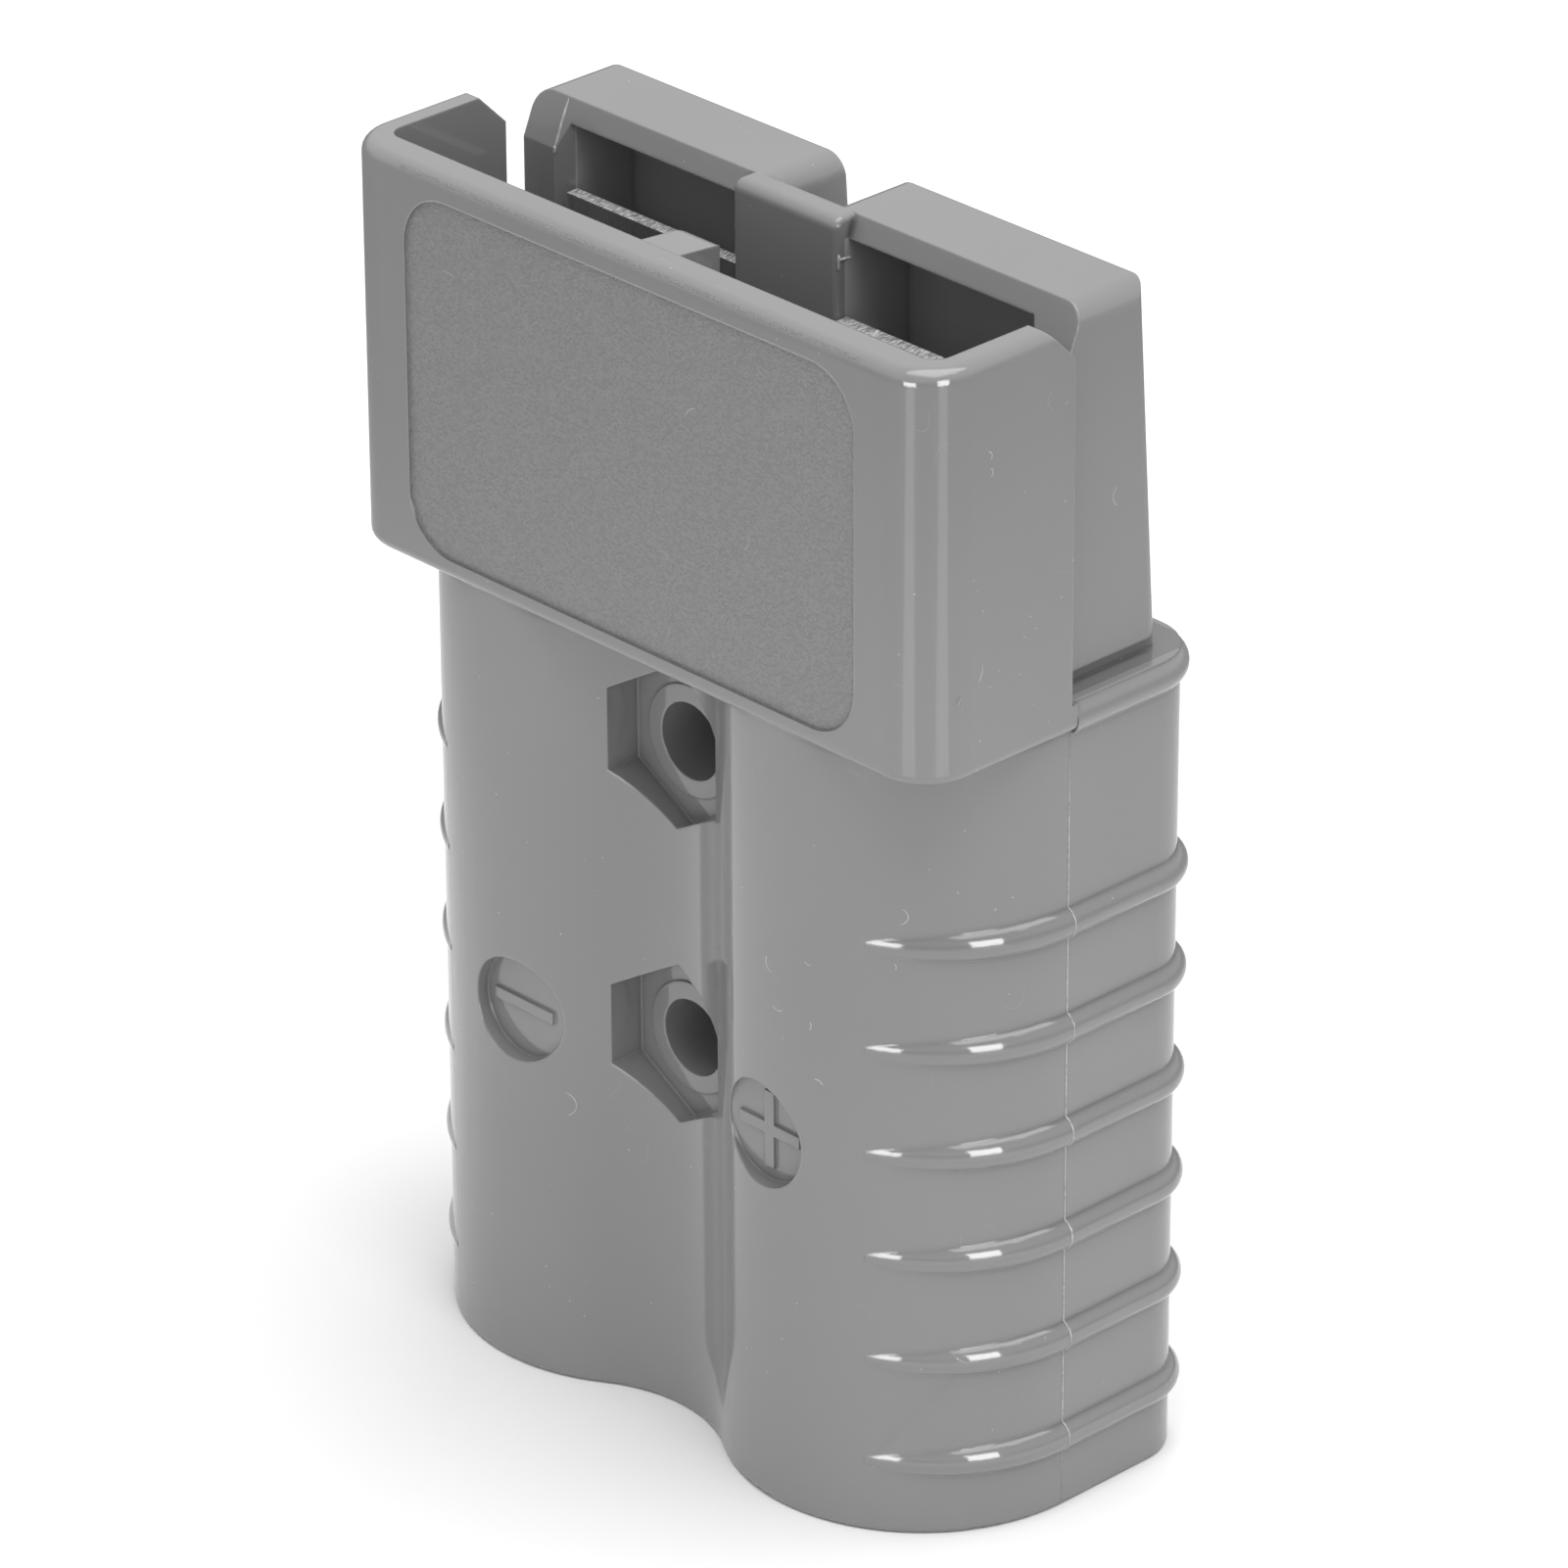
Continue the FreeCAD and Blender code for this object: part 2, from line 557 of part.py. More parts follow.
last = dress(housing, "Fillet", "box_edges", last, box_outer_edge, cell("box_round"), 4)
sketch = new_sketch(housing, "web_side", "YZ_Plane")
rectangle(sketch, cell("web_front"), cell("box_front") + cell("box_lead_depth"),
          cell("shoulder_height") - 0.5, box_top)
last = pad(housing, sketch, "web", cell("web_width"), both_ways=True)
last = dress(housing, "Fillet", "web_edge", last,
             lambda box: flat_at(box, box_top) and near(box.YMin, cell("web_front"))
             and box.YLength < 0.02, cell("web_round"), 1)
last = dress(housing, "Fillet", "web_ends", last,
             lambda box: upright(box) and near(box.YMin, cell("web_front"))
             and near(abs(box.XMin), web_half), cell("web_end_round"), 2)

# Rear gap for the other half's rib
sketch = new_sketch(housing, "gap_outline", "XY_Plane", box_top + 1.0)
rectangle(sketch, -gap_half, gap_half, gap_front, cell("body_back"))
last = pocket(housing, sketch, "rear_gap", box_top + 1.0 - cell("shoulder_height"))
last = dress(housing, "Fillet", "gap_edges", last,
             lambda box: flat_at(box, box_top) and box.YLength > 3.0
             and near(abs(box.XMin + box.XMax) / 2, gap_half), cell("gap_round"), 2)

# Contact cavities open to the front, with the passage and the spring slot below
sketch = new_sketch(housing, "cavity_fronts", "XZ_Plane", cell("passage_front"))
for side in (1, -1):
    ends = (web_half, cavity_outer) if side > 0 else (-cavity_outer, -web_half)
    rectangle(sketch, *ends, slot_top, cavity_top)
last = pocket(housing, sketch, "cavities", cell("cavity_back") + cell("passage_front"))
sketch = new_sketch(housing, "passage_fronts", "XZ_Plane", cell("passage_front"))
for side in (1, -1):
    ends = (web_half, cavity_outer) if side > 0 else (-cavity_outer, -web_half)
    rectangle(sketch, *ends, passage_bottom, slot_top + 0.5)
last = pocket(housing, sketch, "passages", passage_back + cell("passage_front"))
sketch = new_sketch(housing, "slot_outlines", "XY_Plane", slot_top + 0.5)
for side in (1, -1):
    middle = cavity_middle if side > 0 else -cavity_middle
    rectangle(sketch, middle - slot_width / 2, middle + slot_width / 2,
              slot_front, cell("slot_back"))
last = pocket(housing, sketch, "spring_slots", slot_top + 0.5 - slot_floor)
last = dress(housing, "Chamfer", "cavity_lead_in", last,
             lambda box: upright(box) and near(box.YMin, cell("box_front"))
             and near(abs(box.XMin), cavity_outer), cell("cavity_lead"), 2)

# Cable and barrel bores from the cable end
sketch = new_sketch(housing, "cable_bore_circles", "XY_Plane")
circle(sketch, lobe_x, cell("lobe_axis_y"), cell("cable_bore_radius"))
circle(sketch, -lobe_x, cell("lobe_axis_y"), cell("cable_bore_radius"))
last = pocket(housing, sketch, "cable_bores", cell("cable_bore_depth"), turned=True)
last = dress(housing, "Chamfer", "cable_bore_mouths", last,
             lambda box: flat_at(box, 0) and near(box.XLength, cell("cable_bore_radius") * 2, 0.1),
             cell("bore_chamfer"), 2)
sketch = new_sketch(housing, "barrel_bore_circles", "XY_Plane")
circle(sketch, lobe_x, cell("lobe_axis_y"), cell("barrel_bore_radius"))
circle(sketch, -lobe_x, cell("lobe_axis_y"), cell("barrel_bore_radius"))
last = pocket(housing, sketch, "barrel_bores", passage_bottom + 1.0, turned=True)

# Mounting holes right through, each with a hexagonal nut pocket in the valley
nut_corner = cell("nut_across_flats") / math.sqrt(3)
bolt_upper = hood_bottom - cell("bolt_below_hood")
bolt_heights = [bolt_upper, bolt_upper - cell("bolt_spacing")]
sketch = new_sketch(housing, "nut_hexagons", "XZ_Plane", cell("hood_front"))
flat = cell("nut_across_flats") / 2
for height in bolt_heights:
    polygon(sketch, [
        (plain(0), height - nut_corner), (flat, height - nut_corner / 2),
        (flat, height + nut_corner / 2), (plain(0), height + nut_corner),
        (-flat, height + nut_corner / 2), (-flat, height - nut_corner / 2)])
last = pocket(housing, sketch, "nut_pockets", cell("hood_front") - cell("nut_floor"))
sketch = new_sketch(housing, "ring_circles", "XZ_Plane", cell("nut_floor") - 0.3)
for height in bolt_heights:
    circle(sketch, 0, height, cell("ring_radius"))
last = pad(housing, sketch, "bolt_rings", cell("ring_height") + 0.3)
sketch = new_sketch(housing, "bolt_circles", "XZ_Plane", cell("nut_floor") + 0.5)
for height in bolt_heights:
    circle(sketch, 0, height, cell("bolt_hole_radius"))
last = pocket(housing, sketch, "bolt_holes", cell("nut_floor") + cell("body_back") + 1.0)

# Polarity discs: minus on the left lobe, plus on the right lobe
disc_offset = lobe_x - cell("disc_inset")
sketch = new_sketch(housing, "disc_circles", "XZ_Plane", cell("hood_front"))
circle(sketch, disc_offset, cell("disc_height"), cell("disc_radius"))
circle(sketch, -disc_offset, cell("disc_height"), cell("disc_radius"))
last = pocket(housing, sketch, "polarity_discs", cell("hood_front") - cell("disc_floor"))
half_length = cell("sign_length") / 2
half_width = cell("sign_width") / 2
sketch = new_sketch(housing, "sign_bars", "XZ_Plane", cell("disc_floor") - 0.3)
rectangle(sketch, -disc_offset - half_length, -disc_offset + half_length,
          cell("disc_height") - half_width, cell("disc_height") + half_width)
plus_x = disc_offset
plus_z = cell("disc_height")
polygon(sketch, [
    (plus_x - half_length, plus_z - half_width), (plus_x - half_width, plus_z - half_width),
    (plus_x - half_width, plus_z - half_length), (plus_x + half_width, plus_z - half_length),
    (plus_x + half_width, plus_z - half_width), (plus_x + half_length, plus_z - half_width),
    (plus_x + half_length, plus_z + half_width), (plus_x + half_width, plus_z + half_width),
    (plus_x + half_width, plus_z + half_length), (plus_x - half_width, plus_z + half_length),
    (plus_x - half_width, plus_z + half_width), (plus_x - half_length, plus_z + half_width)])
last = pad(housing, sketch, "signs", cell("sign_stand_out") + 0.3)

# Label recess on the hood's front
sketch = new_sketch(housing, "label_outline", "XZ_Plane", cell("hood_front"))
label_half = hood_half - cell("label_margin")
label_low = hood_bottom + cell("label_above_edge")
label_high = cell("total_height") - cell("label_below_rim")
corner = cell("label_corner")
straight_half = label_half - corner
round_low = label_low + corner
round_high = label_high - corner
sides = []
for one, other in (((-straight_half, label_low), (straight_half, label_low)),
                   ((label_half, round_low), (label_half, round_high)),
                   ((straight_half, label_high), (-straight_half, label_high)),
                   ((-label_half, round_high), (-label_half, round_low))):
    sides.append(sketch.addGeometry(Part.LineSegment(vector(*one), vector(*other)), False))
rounds = []
for across, up, angle in ((straight_half, round_low, -90), (straight_half, round_high, 0),
                          (-straight_half, round_high, 90), (-straight_half, round_low, 180)):
    rounds.append(arc(sketch, across, up, corner, angle, angle + 90))
for index in range(4):
    smooth(sketch, sides[index], 2, rounds[index], 1)
    smooth(sketch, rounds[index], 2, sides[(index + 1) % 4], 1)
    radius_of(sketch, rounds[index], corner)
for index, kind in enumerate(("Horizontal", "Vertical", "Horizontal", "Vertical")):
    sketch.addConstraint(Sketcher.Constraint(kind, sides[index]))
hold(sketch, sides[0], 1, up=label_low)
hold(sketch, sides[1], 1, across=label_half)
hold(sketch, sides[2], 1, up=label_high)
hold(sketch, sides[3], 1, across=-label_half)
last = pocket(housing, sketch, "label_recess", cell("label_depth"))

# Retention springs: a strip upright in its slot, leaning forward, upright again at the free end
parts = [housing]
for side in (1, -1):
    name = "spring_right" if side > 0 else "spring_left"
    middle = cavity_middle if side > 0 else -cavity_middle
    tip_y = cell("right_tip_y") if side > 0 else cell("left_tip_y")
    lift = plain(0) if side > 0 else cell("left_lift")
    foot_z = slot_floor + lift
    bend_low = slot_top + cell("spring_foot_out") + lift
    tip_z = cavity_top - cell("spring_below_roof") + lift
    bend_high = tip_z - cell("spring_tip_length")
    spring = new_body(name)
    sketch = new_sketch(spring, name + "_path", "YZ_Plane", middle)
    bend = cell("spring_bend_radius")
    across = spring_foot_y.value - tip_y.value
    rise = bend_high.value - bend_low.value
    between = math.hypot(across - 2 * bend.value, rise)
    lean = math.degrees(math.atan2(across - 2 * bend.value, rise) +
                        math.asin(2 * bend.value / between))
    low_centre = (spring_foot_y - bend, bend_low)
    high_centre = (tip_y + bend, bend_high)
    foot = sketch.addGeometry(Part.LineSegment(
        vector(spring_foot_y, foot_z), vector(spring_foot_y, low_centre[1])), False)
    lower = arc(sketch, *low_centre, bend, 0, lean)
    upper = arc(sketch, *high_centre, bend, 180, 180 + lean)
    blade_low = vector(low_centre[0].value + bend.value * math.cos(math.radians(lean)),
                       low_centre[1].value + bend.value * math.sin(math.radians(lean)))
    blade_high = vector(high_centre[0].value - bend.value * math.cos(math.radians(lean)),
                        high_centre[1].value - bend.value * math.sin(math.radians(lean)))
    blade = sketch.addGeometry(Part.LineSegment(blade_low, blade_high), False)
    tip = sketch.addGeometry(Part.LineSegment(
        vector(tip_y, high_centre[1]),
        vector(tip_y, tip_z)), False)
    smooth(sketch, foot, 2, lower, 1)
    smooth(sketch, lower, 2, blade, 1)
    smooth(sketch, blade, 2, upper, 2)
    smooth(sketch, upper, 1, tip, 1)
    sketch.addConstraint(Sketcher.Constraint("Vertical", foot))
    sketch.addConstraint(Sketcher.Constraint("Vertical", tip))
    radius_of(sketch, lower, bend)
    radius_of(sketch, upper, bend)
    hold(sketch, foot, 1, spring_foot_y, foot_z)
    hold(sketch, foot, 2, up=bend_low)
    hold(sketch, tip, 2, tip_y, tip_z)
    hold(sketch, tip, 1, up=bend_high)
    section = new_sketch(spring, name + "_section", "XY_Plane", foot_z)
    rectangle(section, middle - spring_width / 2, middle + spring_width / 2,
              spring_foot_y - cell("spring_thickness") / 2,
              spring_foot_y + cell("spring_thickness") / 2)
    pipe(spring, section, sketch, name + "_strip")
    parts.append(spring)

# Test and write every piece
doc.recompute()
for item in doc.Objects:
    if "Invalid" in item.State or "Error" in item.State:
        raise RuntimeError(item.Name + " is not built")
for part in parts:
    if part.Shape.isNull() or not part.Shape.isValid() or len(part.Shape.Solids) != 1:
        raise RuntimeError(part.Label + " is not one valid solid")
    part.Shape.exportStep("parts/%s.step" % part.Label)
    print("%s volume %.0f mm3, %d faces" % (part.Label, part.Shape.Volume, len(part.Shape.Faces)))
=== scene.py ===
# %% [markdown]
# # Genderless power connector, dressed for its picture
# The solids of this connector half already have the right shape: a moulded housing with two cable
# lobes, a hood, two contact boxes, and a retention spring behind each contact place. This lesson
# leaves their shape alone. It gives them plastic and steel, adds the thin lines that a mould leaves
# behind, and lights them like a catalogue picture. First the solids come in as a fixed frame, in
# metres, and the box that they fill is kept, to hold the ridges within its width and to set the
# floor.

# %% Load the frame
import math

import bpy
import numpy as np
from mathutils import Matrix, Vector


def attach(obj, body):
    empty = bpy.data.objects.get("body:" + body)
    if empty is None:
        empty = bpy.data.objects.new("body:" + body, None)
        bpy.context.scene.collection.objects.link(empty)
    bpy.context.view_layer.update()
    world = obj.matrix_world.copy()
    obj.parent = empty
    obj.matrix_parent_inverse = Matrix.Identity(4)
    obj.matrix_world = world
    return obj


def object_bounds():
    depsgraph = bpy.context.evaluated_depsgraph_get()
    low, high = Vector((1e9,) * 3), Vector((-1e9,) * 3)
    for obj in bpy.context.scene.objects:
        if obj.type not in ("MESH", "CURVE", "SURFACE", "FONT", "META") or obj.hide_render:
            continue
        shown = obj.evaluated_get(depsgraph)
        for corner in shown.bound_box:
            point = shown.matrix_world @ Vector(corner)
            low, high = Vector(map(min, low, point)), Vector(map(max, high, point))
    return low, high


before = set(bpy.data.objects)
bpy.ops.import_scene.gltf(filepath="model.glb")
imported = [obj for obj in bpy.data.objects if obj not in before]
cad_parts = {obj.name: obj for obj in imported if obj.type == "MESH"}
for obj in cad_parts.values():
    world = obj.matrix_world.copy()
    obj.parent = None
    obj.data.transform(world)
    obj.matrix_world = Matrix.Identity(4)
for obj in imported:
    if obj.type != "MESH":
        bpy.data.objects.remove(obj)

cad_low, cad_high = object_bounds()
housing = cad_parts["housing"]
springs = [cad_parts["spring_left"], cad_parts["spring_right"]]
print("solids fill", [round(v * 1000, 2) for v in (*cad_low, *cad_high)], "mm")

# %% [markdown]
# ## The camera
# A picture of a small part is taken from far away with a long lens, so upright edges hardly come
# together. The camera could be set by trial, but then its place would be loose. Here
# its place and its three axes come from a fit to the corners of the connector, and the matrix
# simply states them: right, up and back.

# %% Camera
MM = 0.001


def matrix_of(right, up, back, place):
    """Matrix of an object at a place, from the directions of its own x, y and z axes."""
    return Matrix([row for row in zip(right, up, back, place)] + [(0, 0, 0, 1)])


camera_data = bpy.data.cameras.new("camera")
camera_data.lens = 213.77
camera_data.sensor_width = 36.0
camera_data.clip_start = 0.05
camera_data.clip_end = 20.0
camera = bpy.data.objects.new("camera", camera_data)
bpy.context.scene.collection.objects.link(camera)
camera_place = (0.5065292, -0.4837398, 0.4127589)
camera.matrix_world = matrix_of((0.692413, 0.721491, -0.003741), (-0.325106, 0.316623, 0.891098),
                                (0.644104, -0.615792, 0.453795), camera_place)
bpy.context.scene.camera = camera
print("camera stands %.0f mm from the origin" % (1000 * math.dist(camera_place, (0, 0, 0))))

# %% [markdown]
# ## Sizes that the finish needs
# The mould's lines and the marks of use lie on known surfaces: the two round lobes, the straight
# sides, the half-round grip ribs and the front of the hood. Their sizes are named here once, in
# metres, so that each new piece can be worked out from them. The places where the plastic looks
# different, such as the floor of the label recess, are blocks of space on both sides of the
# middle. Each is named with its limits across, in depth and in height.

# %% Sizes
body_half = 34.25 * MM
lobe_radius = 17.2 * MM
lobe_x = body_half - lobe_radius
lobe_y = 0.15 * MM
rib_heights = (6.83 + 9.8 * np.arange(6)) * MM
rib_radius = 1.5 * MM
rib_axis = body_half - 0.55 * MM
rib_crest = rib_axis + rib_radius
label_y = -17.0 * MM
parting_y = -0.05 * MM
hood_low = 73.45 * MM
FAR = 1.0
ZONES = {
    "label": ((-FAR, 27.2 * MM), (label_y - 0.1 * MM, label_y + 0.1 * MM), (74.6 * MM, FAR)),
    "sides": ((33.5 * MM, FAR), (-FAR, FAR), (-FAR, hood_low)),
    "cavities": ((6.05 * MM, 27.15 * MM), (1.8 * MM, 9.4 * MM), (56.0 * MM, 107.6 * MM)),
    "discs": ((-FAR, FAR), (-FAR, -15.0 * MM), (29.5 * MM, 40.5 * MM)),
    "pockets": ((-FAR, 7.9 * MM), (-15.0 * MM, -3.0 * MM), (-FAR, FAR)),
    "box feet": ((-FAR, 33.4 * MM), (0.2 * MM, 15.5 * MM), (75.8 * MM, 79.0 * MM)),
    "shoulder": ((-FAR, 33.4 * MM), (0.2 * MM, 15.5 * MM), (75.8 * MM, 76.2 * MM))}
print("rib crests at x %.2f mm, the box ends at %.2f mm" % (rib_crest / MM, cad_high[0] / MM))

# %% [markdown]
# ## Helpers for node trees
# A material is a chain of nodes. Writing each node, its settings and its links takes many lines,
# so one helper makes a node and fills its inputs: a value goes into the socket, and another node's
# output is linked to it. The others build on it: sums and products, a smooth ramp, and a colour
# turned towards another colour. A last pair opens a node group with named inputs and outputs, and
# places it in a material.

# %% Node helpers


def fill(tree, sockets, inputs):
    """Set each socket, by name or number: link another node's output, or store a value."""
    for key, value in inputs.items():
        if isinstance(value, bpy.types.NodeSocket):
            tree.links.new(value, sockets[key])
        else:
            sockets[key].default_value = value


def node(tree, kind, inputs=None, **settings):
    """One node: settings are its properties, inputs its sockets by name or number."""
    made = tree.nodes.new("ShaderNode" + kind)
    for key, value in settings.items():
        setattr(made, key, value)
    fill(tree, made.inputs, inputs or {})
    return made


def maths(tree, operation, one, other=0.0, clamp=False):
    """Output of a Math node."""
    return node(tree, "Math", {0: one, 1: other}, operation=operation, use_clamp=clamp).outputs[0]


def times(tree, one, *others):
    """Product of values."""
    for other in others:
        one = maths(tree, "MULTIPLY", one, other)
    return one


def plus(tree, one, *others):
    """Sum of values."""
    for other in others:
        one = maths(tree, "ADD", one, other)
    return one


def ramp(tree, value, low, high, to_low=0.0, to_high=1.0):
    """Value between low and high, spread smoothly over to_low and to_high."""
    made = node(tree, "MapRange", {"Value": value, "From Min": low, "From Max": high,
                                   "To Min": to_low, "To Max": to_high},
                interpolation_type="SMOOTHSTEP")
    return made.outputs["Result"]


def grey(value):
    """A neutral colour."""
    return (value, value, value)


def tint(tree, amount, base, other):
    """Base colour turned towards another colour by an amount from 0 to 1."""
    made = node(tree, "Mix", {"Factor": amount}, data_type="RGBA")
    colours = {6: base, 7: other}
    fill(tree, made.inputs, {key: (*value, 1.0) if isinstance(value, tuple) else value
                             for key, value in colours.items()})
    return made.outputs[2]


def layered(tree, tone, layers):
    """Tone under layers of (mask, strength, colour), each laid over the ones before."""
    for mask, strength, colour in layers:
        tone = tint(tree, maths(tree, "MULTIPLY", mask, strength), tone, colour)
    return tone


def group(name, inputs, outputs):
    """A node group with named sockets; returns the tree, its input node and its output node."""
    tree = bpy.data.node_groups.new(name, "ShaderNodeTree")
    for label, kind, value in inputs:
        socket = tree.interface.new_socket(label, in_out="INPUT", socket_type="NodeSocket" + kind)
        if value is not None:
            socket.default_value = value
    for label, kind in outputs:
        tree.interface.new_socket(label, in_out="OUTPUT", socket_type="NodeSocket" + kind)
    return tree, tree.nodes.new("NodeGroupInput"), tree.nodes.new("NodeGroupOutput")


def use(tree, shared, inputs):
    """A shared group placed in a tree with this material's own values."""
    made = tree.nodes.new("ShaderNodeGroup")
    made.node_tree = shared
    fill(tree, made.inputs, inputs)
    return made.outputs


# %% [markdown]
# ## Shared effect: the skin of a moulding
# Moulded plastic is never one even tone. Where the melt flowed and cooled, the colour drifts by a
# few parts in a hundred over centimetres, and the polished steel of the mould leaves a faint wave
# and a very fine grain. A picture of such a skin would have to be wrapped round the part, so
# three layers of noise on the part's own coordinates are used instead: wide drift, the wave, and
# fine grain.

# %% Group: moulded skin
skin, skin_in, skin_out = group(
    "moulded_skin",
    [("Vector", "Vector", None), ("Drift scale", "Float", 30.0), ("Grain scale", "Float", 1500.0)],
    [("Drift", "Float"), ("Grain", "Float"), ("Wave", "Float")])
drift = node(skin, "TexNoise", {"Vector": skin_in.outputs["Vector"],
                                "Scale": skin_in.outputs["Drift scale"],
                                "Detail": 2.0, "Roughness": 0.45})
grain = node(skin, "TexNoise", {"Vector": skin_in.outputs["Vector"],
                                "Scale": skin_in.outputs["Grain scale"],
                                "Detail": 3.0, "Roughness": 0.6})
wave_scale = maths(skin, "MULTIPLY", skin_in.outputs["Drift scale"], 4.0)
wave = node(skin, "TexNoise", {"Vector": skin_in.outputs["Vector"], "Scale": wave_scale,
                               "Detail": 1.0})
fill(skin, skin_out.inputs, {"Drift": ramp(skin, drift.outputs[0], 0.25, 0.75),
                             "Grain": grain.outputs[0], "Wave": wave.outputs[0]})
print("group", skin.name, "has", len(skin.nodes), "nodes")

# %% [markdown]
# ## Shared effect: hairlines
# A connector that has been plugged, dropped in a toolbox and wiped down carries short curved
# hairlines. They could be drawn one by one, and the clearest ones are, further on. The many faint
# ones come from a contour of a noise: where the noise is just a half, a thin curve runs, and a
# second noise lets only short lengths of it through.

# %% Group: hairlines
hair, hair_in, hair_out = group(
    "hairlines",
    [("Vector", "Vector", None), ("Scale", "Float", 120.0), ("Width", "Float", 0.02),
     ("Rarity", "Float", 0.62)],
    [("Line", "Float")])
contour = node(hair, "TexNoise", {"Vector": hair_in.outputs["Vector"],
                                  "Scale": hair_in.outputs["Scale"], "Detail": 0.0})
near_half = maths(hair, "ABSOLUTE", maths(hair, "SUBTRACT", contour.outputs[0], 0.5))
line = ramp(hair, near_half, 0.0, hair_in.outputs["Width"], 1.0, 0.0)
moved = node(hair, "VectorMath", {0: hair_in.outputs["Vector"], 1: (0.31, 0.17, 0.23)},
             operation="ADD")
window_scale = maths(hair, "MULTIPLY", hair_in.outputs["Scale"], 1.6)
window = node(hair, "TexNoise", {"Vector": moved.outputs[0], "Scale": window_scale, "Detail": 0.0})
open_at = maths(hair, "ADD", hair_in.outputs["Rarity"], 0.03)
shown = ramp(hair, window.outputs[0], hair_in.outputs["Rarity"], open_at)
fill(hair, hair_out.inputs, {"Line": times(hair, line, shown)})
print("group", hair.name, "has", len(hair.nodes), "nodes")

# %% [markdown]
# ## Shared effect: rounded edges and a painted edge highlight
# No mould has a perfectly sharp edge. The Bevel node feels round a small radius: where the rounded
# normal differs from the true one there is an edge. The group gives the soft normal, which makes a
# thin glint, and a mask, with which the housing paints a lighter line along its edges as a
# highlight.

# %% Group: rounded edges and painted edge highlight
edge, edge_in, edge_out = group(
    "rounded_edges_and_highlight", [("Radius", "Float", 0.3 * MM)], [("Edge", "Float"), ("Normal", "Vector")])
soft = node(edge, "Bevel", {"Radius": edge_in.outputs["Radius"]}, samples=5)
true = node(edge, "NewGeometry")
likeness = node(edge, "VectorMath", {0: soft.outputs[0], 1: true.outputs["Normal"]},
                operation="DOT_PRODUCT")
fill(edge, edge_out.inputs, {"Edge": ramp(edge, likeness.outputs["Value"], 0.999, 0.93),
                             "Normal": soft.outputs[0]})
print("group", edge.name, "has", len(edge.nodes), "nodes")

# %% [markdown]
# ## Shared effect: specks and painted joint shade
# A handled part carries a few pale specks, and the narrow joints, such as the foot of a grip rib,
# get painted shade. The specks could be painted, but they are evenly random, so they come from
# the cells of a Voronoi texture: close to a cell's point there is a speck, and only some cells
# have one. The joints are found with an Ambient Occlusion node that looks barely a millimetre out.

# %% Group: specks and painted joint shade
speck_and_shade_group, speck_and_shade_in, speck_and_shade_out = group(
    "specks_and_joint_shade",
    [("Vector", "Vector", None), ("Scale", "Float", 600.0), ("Size", "Float", 0.05),
     ("Reach", "Float", 0.8 * MM)],
    [("Speck", "Float"), ("Joint", "Float")])
cells = node(speck_and_shade_group, "TexVoronoi", {"Vector": speck_and_shade_in.outputs["Vector"],
                                  "Scale": speck_and_shade_in.outputs["Scale"]})
spot = maths(speck_and_shade_group, "LESS_THAN", cells.outputs["Distance"], speck_and_shade_in.outputs["Size"])
luck = node(speck_and_shade_group, "SeparateColor", {0: cells.outputs["Color"]}).outputs[0]
hollow = node(speck_and_shade_group, "AmbientOcclusion", {"Distance": speck_and_shade_in.outputs["Reach"]},
              samples=5, only_local=True)
fill(speck_and_shade_group, speck_and_shade_out.inputs,
     {"Speck": times(speck_and_shade_group, spot, maths(speck_and_shade_group, "GREATER_THAN", luck, 0.60)),
      "Joint": ramp(speck_and_shade_group, hollow.outputs["AO"], 0.60, 0.92, 1.0, 0.0)})
print("group", speck_and_shade_group.name, "has", len(speck_and_shade_group.nodes), "nodes")

# %% [markdown]
# ## Housing plastic
# The housing is grey polycarbonate with a glossy skin: the grip ribs throw small hard highlights,
# while the wide faces stay calm. Only the label recess is matt, because that panel of the mould is
# spark-eroded. One material could not tell these places apart by itself, so it asks the zones that
# were named above. The recess gets a fine speckle and a coarse bump, and the walls of the contact
# cavities are lighter, because they are thin and light comes through them. The edges get a painted
# highlight. The joints get painted shade, less in the polarity discs, the nut pockets and at the
# box feet, and the shoulder gets a little painted shade.

# %% Material: housing plastic


def new_material(name):
    """An empty node material with its output; returns the material, its tree and its shader."""
    material = bpy.data.materials.new(name)
    material.use_nodes = True
    tree = material.node_tree
    tree.nodes.clear()
    output = tree.nodes.new("ShaderNodeOutputMaterial")
    shader = tree.nodes.new("ShaderNodeBsdfPrincipled")
    tree.links.new(shader.outputs[0], output.inputs[0])
    return material, tree, shader


def zone(tree, axes, limits):
    """One where across, depth and height all lie between their limits, otherwise nought."""
    tests = []
    for value, (low, high) in zip(axes, limits):
        if low > -FAR:
            tests.append(maths(tree, "GREATER_THAN", value, low))
        if high < FAR:
            tests.append(maths(tree, "LESS_THAN", value, high))
    return times(tree, *tests)


def dress(nodes, material):
    """Give frame nodes one material."""
    for item in nodes:
        item.data.materials.clear()
        item.data.materials.append(material)


